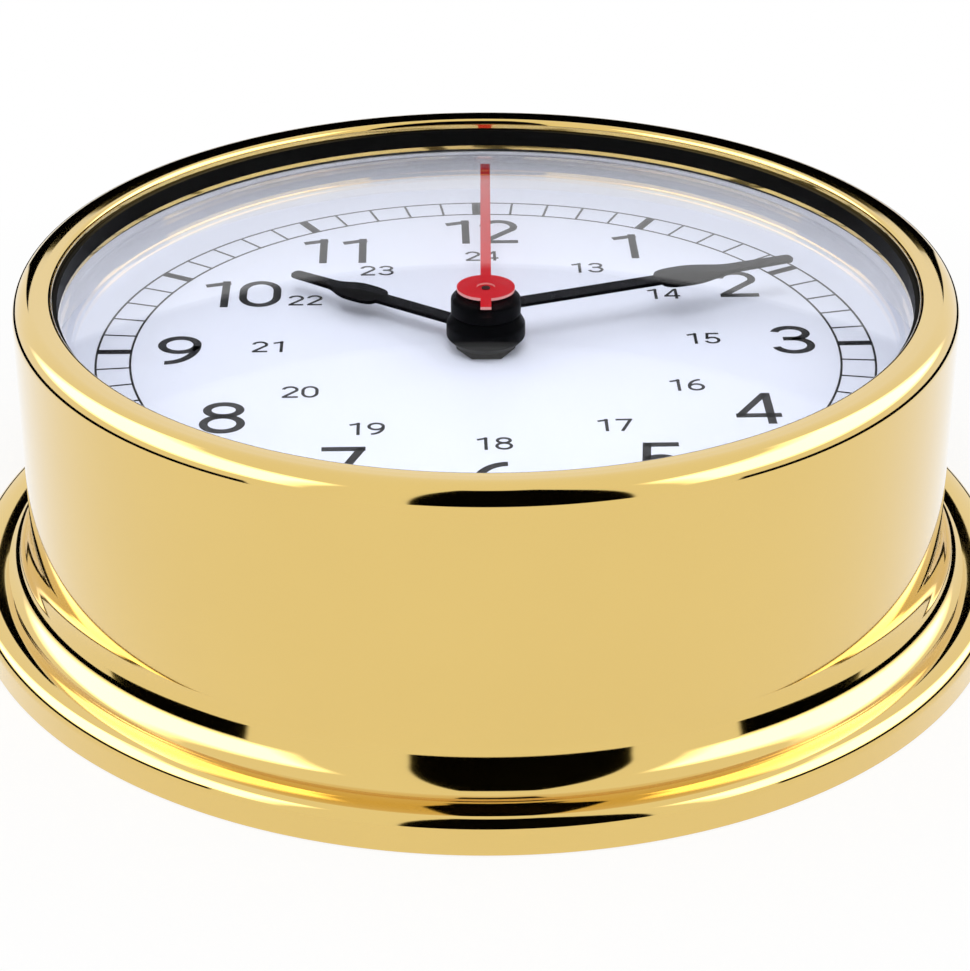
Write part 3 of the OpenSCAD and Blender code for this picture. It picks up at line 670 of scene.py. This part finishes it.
def meeting(first, first_r, second, second_r):
    """Where two circles of an outline meet, on the left of the way from the first centre to the second."""
    gap = math.dist(first, second)
    along = (first_r ** 2 - second_r ** 2 + gap ** 2) / (2 * gap)
    aside = math.sqrt(first_r ** 2 - along ** 2)
    ux, uz = (second[0] - first[0]) / gap, (second[1] - first[1]) / gap
    return first[0] + along * ux - aside * uz, first[1] + along * uz + aside * ux


def bearing(centre, point):
    """Angle of a point about a centre, in degrees, in the plane of an outline."""
    return math.degrees(math.atan2(point[1] - centre[1], point[0] - centre[0]))


def case_shell():
    """Spun barrel with its round rim, crowned face, inner edge, band seat, lip and spring-ring groove."""
    rim_c = (barrel_r - rim_round, crest_z - rim_round)
    fall = math.radians(rim_fall)
    reach = rim_crown - rim_round
    crown_c = (rim_c[0] + reach * math.sin(fall), rim_c[1] - reach * math.cos(fall))
    inner_reach = rim_crown - rim_inner_round
    inner_r = counterbore_r + rim_inner_round
    inner_fall = math.asin((crown_c[0] - inner_r) / inner_reach)
    inner_c = (inner_r, crown_c[1] + inner_reach * math.cos(inner_fall))
    outline = [(barrel_r, base_top)]
    outline += arc(rim_c, rim_round, 0, 90 + rim_fall)
    outline += arc(crown_c, rim_crown, 90 + rim_fall, 90 + math.degrees(inner_fall))[1:]
    outline += arc(inner_c, rim_inner_round, 90 + math.degrees(inner_fall), 180)[1:]
    outline += [(counterbore_r, band_foot), (opening_r, band_foot), (opening_r, lip_under)]
    outline += [(bore_r, lip_under), (bore_r, clip_top), (groove_r, clip_top)]
    outline += [(groove_r, clip_foot), (bore_r, clip_foot), (bore_r, base_top)]
    return turned("polished_barrel", outline)


def base_ring():
    """Base moulding: spigot, flare, hollow and crowned flange, with three bayonet lugs inside."""
    lean = math.radians(lean_angle)
    flare_c = (barrel_r + flare_r, base_top)
    lean_end = (flare_c[0] - flare_r * math.cos(lean) + lean_h * math.tan(lean),
                flare_c[1] - flare_r * math.sin(lean) - lean_h)
    cove_c = (lean_end[0] + cove_r * math.cos(lean), lean_end[1] + cove_r * math.sin(lean))
    roll_c = (base_r - roll_r, roll_z)
    turn = math.radians(crown_from)
    reach = crown_r - roll_r
    crown_c = (roll_c[0] - reach * math.cos(turn), roll_c[1] - reach * math.sin(turn))
    groove = meeting(crown_c, crown_r, cove_c, cove_r)
    outline = [(ring_bore_r, 0), (base_r, 0)]
    outline += arc(roll_c, roll_r, 0, crown_from)
    outline += arc(crown_c, crown_r, crown_from, bearing(crown_c, groove))[1:]
    outline += arc(cove_c, cove_r, bearing(cove_c, groove) % 360, 180 + lean_angle)[1:]
    outline += arc(flare_c, flare_r, 180 + lean_angle, 180)
    outline += [(spigot_r, base_top), (spigot_r, spigot_top), (ring_bore_r, spigot_top)]
    ring = turned("polished_base", outline)
    half = lug_arc / 2
    edge = arc((0, 0), lug_r, 90 - half, 90 + half)
    edge += arc((0, 0), ring_bore_r + lug_root, 90 + half, 90 - half)
    lug = slab("bayonet_lugs", [(x, y, lug_foot) for x, y in edge], (0, 0, lug_t))
    return join("polished_base", [ring, copies_round(lug, lug_count)])


def glass():
    """Domed glass with a flat seat, its two faces on one centre."""
    rise = glass_apex - glass_rim
    dome_r = (opening_r ** 2 + rise ** 2) / (2 * rise)
    centre = (0, glass_apex - dome_r)
    foot = glass_rim - glass_t
    inner_r = dome_r - glass_t
    outer_half = math.asin(opening_r / dome_r)
    inner_half = math.acos((foot - centre[1]) / inner_r)

    def face(radius, half):
        turns = [half * k / dome_steps for k in range(dome_steps + 1)]
        return [(radius * math.sin(a), centre[1] + radius * math.cos(a)) for a in turns]

    outline = face(dome_r, outer_half)
    outline += [(glass_seat_r, glass_rim), (glass_seat_r, foot)]
    outline += face(inner_r, inner_half)[::-1]
    return turned("domed_glass", outline, glass_steps, closed=False)


fit(case_shell(), "case", "polished_brass", "case_shell")
fit(base_ring(), "case", "polished_brass", "base_ring")
fit(glass(), "case", "clear_glass", "glass")


# Dial print: two circles, sixty marks and the hours twice over

def stroke_line(start, end, width=digit_stroke):
    """Outline of a straight stroke with square ends."""
    length = math.dist(start, end)
    ax = -(end[1] - start[1]) / length * width / 2
    ay = (end[0] - start[0]) / length * width / 2
    return [(start[0] + ax, start[1] + ay), (start[0] - ax, start[1] - ay),
            (end[0] - ax, end[1] - ay), (end[0] + ax, end[1] + ay)]


def stroke_arc(centre, across, up, start, end):
    """Outline of a stroke along part of an ellipse."""
    turns = [math.radians(start + (end - start) * k / stroke_steps) for k in range(stroke_steps + 1)]

    def side(out):
        wide, high = across + out, up + out
        return [(centre[0] + wide * math.cos(a), centre[1] + high * math.sin(a)) for a in turns]

    return side(digit_stroke / 2) + side(-digit_stroke / 2)[::-1]


def stroke_ring(centre, across, up):
    """Outlines of the two halves of a closed oval stroke."""
    return [stroke_arc(centre, across, up, 0, 180), stroke_arc(centre, across, up, 180, 360)]


def digit_strokes(digit):
    """Strokes of a plain sans digit. Places are shares of its height, from its lower left corner."""
    edge = digit_stroke / 2
    mid, right, top = digit_w / 2, digit_w - edge, 1 - edge
    wide = mid - edge
    if digit == "0":
        high, low = 0.62, 0.38
        return [stroke_arc((mid, high), wide, top - high, 0, 180),
                stroke_line((edge, high), (edge, low)),
                stroke_arc((mid, low), wide, low - edge, 180, 360),
                stroke_line((right, low), (right, high))]
    if digit == "1":
        stem, flag_end, flag_w = 0.42, (0.1, 0.82), 0.12
        return [stroke_line((stem, 0), (stem, 1)),
                stroke_line((stem + edge, 0.935), flag_end, flag_w)]
    if digit == "2":
        bowl, neck, heel = 0.7, (0.563, 0.602), (0.09, 0.09)
        return [stroke_arc((mid, bowl), wide - 0.01, top - bowl, -36, 172),
                stroke_line(neck, heel),
                stroke_line((0.03, edge), (0.64, edge))]
    if digit == "3":
        upper, lower, waist = 0.735, 0.3, 0.5375
        return [stroke_arc((mid, upper), wide - 0.025, top - upper, -90, 165),
                stroke_line((0.2, waist), (0.34, waist)),
                stroke_arc((mid, lower), wide, lower - edge, -168, 90)]
    if digit == "4":
        stem, bar, slope_w = 0.5, 0.275, 0.11
        return [stroke_line((stem, 1), (stem, 0)),
                stroke_line((0, bar), (digit_w, bar)),
                stroke_line((stem - 0.02, 0.97), (0.05, bar), slope_w)]
    if digit == "5":
        bowl, back_w = 0.32, 0.12
        return [stroke_line((0.12, top), (0.61, top)),
                stroke_line((0.165, 1), (0.115, 0.44), back_w),
                stroke_arc((mid - 0.01, bowl), wide - 0.01, bowl - edge, -165, 138)]
    if digit == "7":
        return [stroke_line((0.02, top), (0.64, top)),
                stroke_line((0.585, 0.95), (0.22, 0))]
    if digit == "8":
        upper, lower = 0.745, 0.3
        return (stroke_ring((mid, upper), wide - 0.03, top - upper)
                + stroke_ring((mid, lower), wide, lower - edge))
    bowl, tail_across, tail_up = 0.315, 0.4575, 0.64
    if digit == "6":
        tail = stroke_arc((digit_w - 0.14, 1 - tail_up), tail_across, top - (1 - tail_up), 90, 180)
        return stroke_ring((mid, bowl), wide, bowl - edge) + [tail]
    tail = stroke_arc((0.14, tail_up), tail_across, tail_up - edge, 270, 360)
    return stroke_ring((mid, 1 - bowl), wide, bowl - edge) + [tail]


def digit_mesh(digit):
    """One digit, a unit tall in millimetres, as thin closed strokes above the dial."""
    name = f"digit_{digit}"
    made = []
    for outline in digit_strokes(digit):
        made.append(slab(name, [(x, y, dial_top) for x, y in outline], (0, 0, ink_t)))
    return join(name, made)


digits = {digit: digit_mesh(digit) for digit in "0123456789"}


def numerals(name, first, height, radius, shifts, pitch):
    """Twelve upright numbers round the dial, the first of them at one o'clock."""
    placed = []
    for hour, (right, up) in enumerate(shifts):
        text = str(first + hour)
        turn = math.tau * (hour + 1) / len(shifts)
        width = digit_w + (len(text) - 1) * pitch
        left = radius * math.sin(turn) + right - width * height / 2
        foot = radius * math.cos(turn) + up - height / 2
        for k, digit in enumerate(text):
            copy = digits[digit].copy()
            copy.data = digits[digit].data.copy()
            bpy.context.scene.collection.objects.link(copy)
            copy.scale = (height, height, 1)
            copy.location = ((left + k * pitch * height) * MM, foot * MM, 0)
            placed.append(copy)
    select(placed)
    apply_place()
    return join(name, placed)


def circle_line(name, radius):
    """One of the two thin circles of the track."""
    inner, outer = radius - track_line / 2, radius + track_line / 2
    ink_top = dial_top + ink_t
    return turned(name, [(inner, dial_top), (outer, dial_top), (outer, ink_top), (inner, ink_top)])


def marks(name, width, count):
    """Marks across the track, one modelled and the rest spun from it."""
    low, high = track_inner_r, track_outer_r
    mark = slab(name, [(-width / 2, low, dial_top), (width / 2, low, dial_top),
                       (width / 2, high, dial_top), (-width / 2, high, dial_top)], (0, 0, ink_t))
    return copies_round(mark, count)


track = join("minute_track", [circle_line("track_outer", track_outer_r),
                              circle_line("track_inner", track_inner_r),
                              marks("minute_marks", minute_tick_w, minute_mark_count),
                              marks("hour_marks", hour_tick_w, hour_mark_count)])
fit(track, "case", "black_lacquer", finish=ink)
hours = numerals("hour_numerals", first=1, height=hour_numeral_h, radius=hour_numeral_r,
                 shifts=hour_shifts, pitch=hour_pitch)
days = numerals("day_numerals", first=13, height=day_numeral_h, radius=day_numeral_r,
                shifts=day_shifts, pitch=day_pitch)
fit(hours, "case", "black_lacquer", finish=ink)
fit(days, "case", "black_lacquer", finish=ink)
for digit in digits.values():
    bpy.data.objects.remove(digit)


# Hands

def curve(points, count):
    """Points along a cubic curve, after its first."""
    made = []
    for k in range(1, count + 1):
        t = k / count
        shares = ((1 - t) ** 3, 3 * (1 - t) ** 2 * t, 3 * (1 - t) * t ** 2, t ** 3)
        made.append(tuple(sum(w * p[axis] for w, p in zip(shares, points)) for axis in (X, Y)))
    return made


def leaf_outline(length, leaf_at, leaf_w):
    """Outline of a leaf hand that points to twelve."""
    peak = leaf_at + peak_of_leaf * leaf_w
    waist = peak + waist_of_rest * (length - peak)
    stem, half, tip = stem_w / 2, leaf_w / 2, tip_w / 2
    neck = neck_of_tip * tip_w
    corner = corner_of_tip * tip_w
    shoulder = shoulder_of_leaf * leaf_w
    fall = fall_of_leaf * leaf_w
    side = [(stem, 0), (stem, leaf_at)]
    side += curve([(stem, leaf_at), (half, leaf_at), (half, peak - shoulder), (half, peak)], leaf_steps)
    side += curve([(half, peak), (half, peak + fall), (neck, waist - shoulder), (neck, waist)], leaf_steps)
    side += [(tip, length - corner)]
    side += curve([(tip, length - corner), (tip, length - corner / 2),
                   (tip - corner / 2, length), (tip - corner, length)], tip_steps)
    return side + [(-x, y) for x, y in reversed(side)]


def leaf_blade(name, length, leaf_at, leaf_w, foot):
    """Flat leaf blade with its edges eased."""
    blade = slab(name, [(x, y, foot) for x, y in leaf_outline(length, leaf_at, leaf_w)], (0, 0, blade_t))
    bevel = blade.modifiers.new("eased_edge", "BEVEL")
    bevel.width = blade_ease * MM
    bevel.segments = 2
    bevel.limit_method = "ANGLE"
    bevel.angle_limit = math.radians(blade_sharp_angle)
    bpy.ops.object.modifier_apply(modifier=bevel.name)
    return smooth(blade, blade_smooth_angle)


def eased(outline):
    """A closed outline with every corner cut to a small three-point round."""
    made = []
    for before, corner, after in zip(outline[-1:] + outline[:-1], outline, outline[1:] + outline[:1]):
        start = Vector(corner).lerp(Vector(before), boss_ease / math.dist(corner, before))
        end = Vector(corner).lerp(Vector(after), boss_ease / math.dist(corner, after))
        middle = (start + end) / 4 + Vector(corner) / 2
        made += [tuple(start), tuple(middle), tuple(end)]
    return made


def hour_hand():
    """Leaf blade on a boss that is chamfered below and above."""
    foot, top = lowest("hour_hand", Z), highest("hour_hand", Z)
    blade = leaf_blade("hour_blade", hour_len, hour_leaf_at, hour_leaf_w, foot + hour_blade_up)
    outline = [(hour_bore_r, foot), (hour_boss_r - hour_foot_chamfer, foot)]
    outline += [(hour_boss_r, foot + hour_foot_chamfer), (hour_boss_r, top - hour_top_chamfer_h)]
    outline += [(hour_boss_r - hour_top_chamfer_w, top), (hour_bore_r, top)]
    boss = turned("hour_boss", eased(outline), boss_steps)
    return turn_on_axis(join("hour_leaf_hand", [boss, blade]), hour_turn)


def minute_hand():
    """Leaf blade on a boss that is chamfered above."""
    foot, top = lowest("minute_hand", Z), highest("minute_hand", Z)
    blade = leaf_blade("minute_blade", minute_len, minute_leaf_at, minute_leaf_w, foot + minute_blade_up)
    outline = [(minute_bore_r, foot), (minute_boss_r, foot), (minute_boss_r, top - minute_chamfer)]
    outline += [(minute_boss_r - minute_chamfer, top), (minute_bore_r, top)]
    boss = turned("minute_boss", eased(outline), boss_steps)
    return turn_on_axis(join("minute_leaf_hand", [boss, blade]), minute_turn)


fit(hour_hand(), "hour", "black_lacquer", "hour_hand")
fit(minute_hand(), "minute", "black_lacquer", "minute_hand")


# Studio: white floor, white surroundings with dark panels for the metal to show, one wide lamp above

def floor():
    """White disc that shows the clock's shadow near it, is plain white further out and clear from below."""
    deselect()
    bpy.ops.mesh.primitive_circle_add(vertices=stage_steps, radius=floor_r * MM, fill_type="NGON",
                                      location=(0, 0, -floor_gap * MM))
    disc = bpy.context.object
    disc.name = "studio_floor"
    apply_place()
    s = Surface("studio_floor_white")
    far = s.radius().above(floor_white_r, floor_fade)
    seen = s.start.node("LightPath", output="Is Camera Ray")
    for ray in ("Is Glossy Ray", "Is Transmission Ray"):
        seen = s.start.math("MAXIMUM", seen, s.start.node("LightPath", output=ray))
    paint = s.start.node("BsdfDiffuse", {}, {"Color": rgb(0.9, 0.9, 0.9)})
    glow = s.start.node("Emission", {}, {"Color": rgb(1, 1, 1), "Strength": 1.0})
    share = seen * (floor_glow + (1 - floor_glow) * far)
    shown = s.start.node("MixShader", {}, {0: share, 1: paint, 2: glow})
    below = s.start.node("NewGeometry", output="Backfacing")
    clear = s.start.node("BsdfTransparent")
    disc.data.materials.append(s.done(s.start.node("MixShader", {}, {0: below, 1: shown, 2: clear})))


def board(name, radius, low, high, from_front):
    """A black board bent round the set, apart from a gap at the front. Only metal shows it."""
    deselect()
    bpy.ops.mesh.primitive_cylinder_add(vertices=stage_steps, radius=radius * MM, depth=(high - low) * MM,
                                        end_fill_type="NOTHING", location=(0, 0, (low + high) * MM / 2))
    ring = bpy.context.object
    ring.name = name
    apply_place()
    s = Surface(name + "_black")
    turn = s.start.math("ARCTAN2", s.axis("X"), 0 - s.axis("Y")) * (180 / math.pi)
    behind = s.start.math("ABSOLUTE", turn).above(from_front, board_edge)
    sharp = s.start.node("LightPath", output="Is Singular Ray")
    metal_ray = s.start.node("LightPath", output="Is Glossy Ray") * (1 - sharp)
    clear = s.start.node("BsdfTransparent")
    black = s.start.node("BsdfDiffuse", {}, {"Color": rgb(0, 0, 0)})
    shown = s.start.node("MixShader", {}, {0: behind * metal_ray, 1: clear, 2: black})
    ring.data.materials.append(s.done(shown))


def surroundings():
    """White all round. Metal also sees a dark flag in front and a bright box to each side, and the sharp
    image in the glass shows a dark strip between two white fields."""
    world = bpy.data.worlds.new("studio")
    world.use_nodes = True
    world.node_tree.nodes.clear()
    start = Shade(world.node_tree)

    def field(level):
        return start.node("Background", {}, {"Color": rgb(1, 1, 1), "Strength": level})

    def mixed(share, first, second):
        return start.node("MixShader", {}, {0: share, 1: first, 2: second})

    def ray(kind):
        return start.node("LightPath", output=f"Is {kind} Ray")

    way = start.node("TexCoord", output="Generated")
    x, y, z = (start.node("SeparateXYZ", {}, {0: way}, axis) for axis in "XYZ")
    degrees = 180 / math.pi
    height = start.math("ARCSINE", z) * degrees
    from_front = start.math("ARCTAN2", x, 0 - y) * degrees
    aside = start.math("ABSOLUTE", from_front)
    flag = from_front.between(flag_left, flag_right, flag_side_edge)
    flag = flag * height.between(flag_low, flag_high, flag_top_edge)
    boxes = aside.between(box_from, box_to, box_side_edge) * height.between(box_low, box_high, box_top_edge)
    strip = height.between(strip_low, strip_high, strip_edge)
    white, dark = field(1.0), field(0.0)
    metal_sees = mixed(boxes, white, field(box_level))
    metal_sees = mixed(flag, metal_sees, dark)
    glass_sees = mixed(height.above(strip_high, strip_edge), field(veil_far), field(veil_near))
    glass_sees = mixed(strip, glass_sees, dark)
    seen = mixed(ray("Glossy"), white, mixed(ray("Singular"), metal_sees, glass_sees))
    lit = mixed(ray("Diffuse"), seen, field(fill_level))
    start.node("OutputWorld", {}, {"Surface": lit})
    bpy.context.scene.world = world


def lamp():
    """Wide soft lamp above the front, which no reflection shows."""
    light = bpy.data.lights.new("overhead_softbox", "AREA")
    light.shape = "DISK"
    light.size = lamp_size * MM
    light.energy = lamp_watts
    holder = bpy.data.objects.new("overhead_softbox", light)
    up = math.radians(lamp_up)
    way = Vector((0, -math.cos(up), math.sin(up)))
    holder.location = way * lamp_from * MM
    holder.rotation_mode = "QUATERNION"
    holder.rotation_quaternion = way.to_track_quat("Z", "Y")
    holder.visible_glossy = False
    holder.visible_camera = False
    holder.visible_transmission = False
    bpy.context.scene.collection.objects.link(holder)


def camera():
    """Camera at the photograph's viewing angle."""
    data = bpy.data.cameras.new("photo_view")
    data.sensor_fit = "HORIZONTAL"
    data.sensor_width = sensor_mm
    data.lens = focal_px * sensor_mm / photo_w
    data.shift_x = -axis_px / photo_w
    data.clip_start = clip_near * MM
    data.clip_end = clip_far * MM
    eye = bpy.data.objects.new("photo_view", data)
    up, side = math.radians(view_height), math.radians(view_side)
    back = Vector((math.sin(side) * math.cos(up), -math.cos(side) * math.cos(up), math.sin(up)))
    eye.location = Vector((0, 0, view_at_z * MM)) + back * view_from * MM
    eye.rotation_mode = "QUATERNION"
    eye.rotation_quaternion = (-back).to_track_quat("-Z", "Y")
    bpy.context.scene.collection.objects.link(eye)
    bpy.context.scene.camera = eye


floor()
board("side_boards", side_board_r, side_board_low, side_board_top, side_board_from)
board("back_board", back_board_r, back_board_low, back_board_top, back_board_from)
surroundings()
lamp()
camera()
bpy.context.scene.view_settings.view_transform = "Standard"
